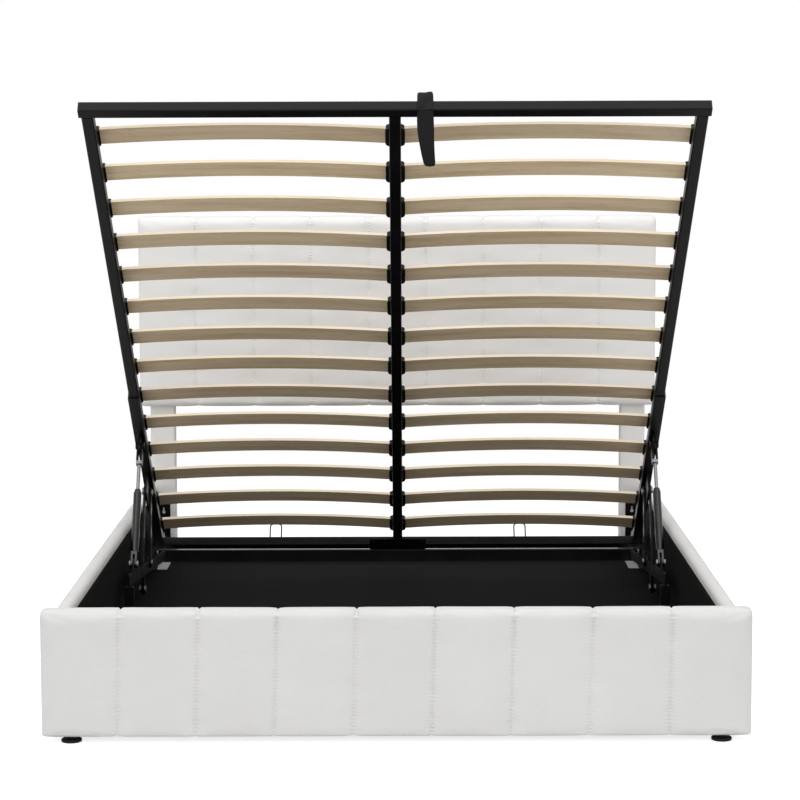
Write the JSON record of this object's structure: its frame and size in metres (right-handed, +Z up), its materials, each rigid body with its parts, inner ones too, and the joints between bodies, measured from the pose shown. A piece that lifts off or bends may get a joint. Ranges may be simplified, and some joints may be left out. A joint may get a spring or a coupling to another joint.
{
  "type": "ottoman storage bed",
  "caption": "Upholstered bed frame with channelled headboard and footboard and a slatted platform on lift arms and gas struts that tilts up over a lined storage space.",
  "frame": {"origin": "on the floor under the middle of the bed's bounding box", "axes": "+Y from the footboard towards the headboard, +X to the right seen from the foot end, +Z up"},
  "size_m": [1.6, 2.1603, 1.4613],
  "materials": {
    "white_upholstery": "matte",
    "black_lining": "matte",
    "frame_timber": "matte",
    "slat_wood": "satin",
    "black_plastic": "matte",
    "black_webbing": "matte",
    "chrome_rod": "gloss",
    "zinc_fasteners": "satin",
    "black_steel": "satin"
  },
  "bodies": {
    "base": {"headboard_panel": "white_upholstery", "headboard_cross_rails": "frame_timber", "headboard_back_cover": "black_lining", "head_leg_left": "white_upholstery", "head_leg_right": "white_upholstery", "leg_brackets": "black_steel", "footboard_panel": "white_upholstery", "footboard_board": "frame_timber", "corner_brackets": "black_steel", "side_rail_left": "white_upholstery", "side_rail_right": "white_upholstery", "storage_linings": "black_lining", "floor_panel_foot": "black_lining", "floor_panel_head": "black_lining", "floor_ledges": "frame_timber", "head_crossbar": "black_steel", "base_bar_left": "black_steel", "base_bar_right": "black_steel", "posts": "black_steel", "glides": "black_plastic", "base_bolts": "zinc_fasteners", "base_pins": "zinc_fasteners"},
    "front_arms": {"front_arm_left": "black_steel", "front_arm_right": "black_steel"},
    "platform": {"front_bar": "black_steel", "head_bar": "black_steel", "side_tube_left": "black_steel", "side_tube_right": "black_steel", "centre_beam": "black_steel", "tube_end_plugs": "black_plastic", "joint_plate": "black_steel", "mattress_stops": "black_steel", "beam_slat_holders": "black_plastic", "side_slat_holders_left": "black_plastic", "side_slat_holders_right": "black_plastic", "strut_brackets": "black_steel", "arm_brackets": "black_steel", "front_lift_pins": "zinc_fasteners", "pull_strap_loop": "black_webbing", "slat_row_01": "slat_wood", "slat_row_02": "slat_wood", "slat_row_03": "slat_wood", "slat_row_04": "slat_wood", "slat_row_05": "slat_wood", "slat_row_06": "slat_wood", "slat_row_07": "slat_wood", "slat_row_08": "slat_wood", "slat_row_09": "slat_wood", "slat_row_10": "slat_wood", "slat_row_11": "slat_wood", "slat_row_12": "slat_wood", "slat_row_13": "slat_wood", "slat_row_14": "slat_wood"},
    "rear_arms": {"rear_arm_left": "black_steel", "rear_arm_right": "black_steel", "rear_lift_pins": "zinc_fasteners"},
    "strut_cylinders": {"strut_cylinders": "black_steel"},
    "strut_rods": {"strut_rods": "chrome_rod"},
    "strap_tail": {"pull_strap_tail": "black_webbing"}
  },
  "joints": [
    {"name": "front_arm_lift", "type": "hinge", "parent": "base", "child": "front_arms", "pos_m": [0, 0.3482, 0.0855], "axis": [-1, 0, 0], "range_deg": [0, 43.24]},
    {"name": "platform_tilt", "type": "hinge", "parent": "front_arms", "child": "platform", "pos_m": [0, 0.4567, 0.34959], "axis": [1, 0, 0], "range_deg": [0, 83.29]},
    {"name": "rear_arm_swing", "type": "hinge", "parent": "base", "child": "rear_arms", "pos_m": [0, 0.4794, 0.1378], "axis": [-1, 0, 0], "range_deg": [0, 54.66]},
    {"name": "strut_swing", "type": "hinge", "parent": "base", "child": "strut_cylinders", "pos_m": [0, 0.1, 0.201], "axis": [-1, 0, 0], "range_deg": [0, 52.66]},
    {"name": "strut_stroke", "type": "slide", "parent": "strut_cylinders", "child": "strut_rods", "axis": [0, -0.5554, -0.8316], "range_m": [0, 0.0699]},
    {"name": "strap_swing", "type": "hinge", "parent": "platform", "child": "strap_tail", "pos_m": [0.071, -0.76033, 1.42437], "axis": [1, 0, 0], "range_deg": [-40, 30]}
  ],
  "couplings": [
    {"joint": "platform_tilt", "follows": "front_arm_lift", "ratio": 1.9251},
    {"joint": "rear_arm_swing", "follows": "front_arm_lift", "ratio": 1.263},
    {"joint": "strut_swing", "follows": "front_arm_lift", "ratio": 1.2167},
    {"joint": "strut_stroke", "follows": "front_arm_lift", "m_per_rad": 0.092369}
  ]
}
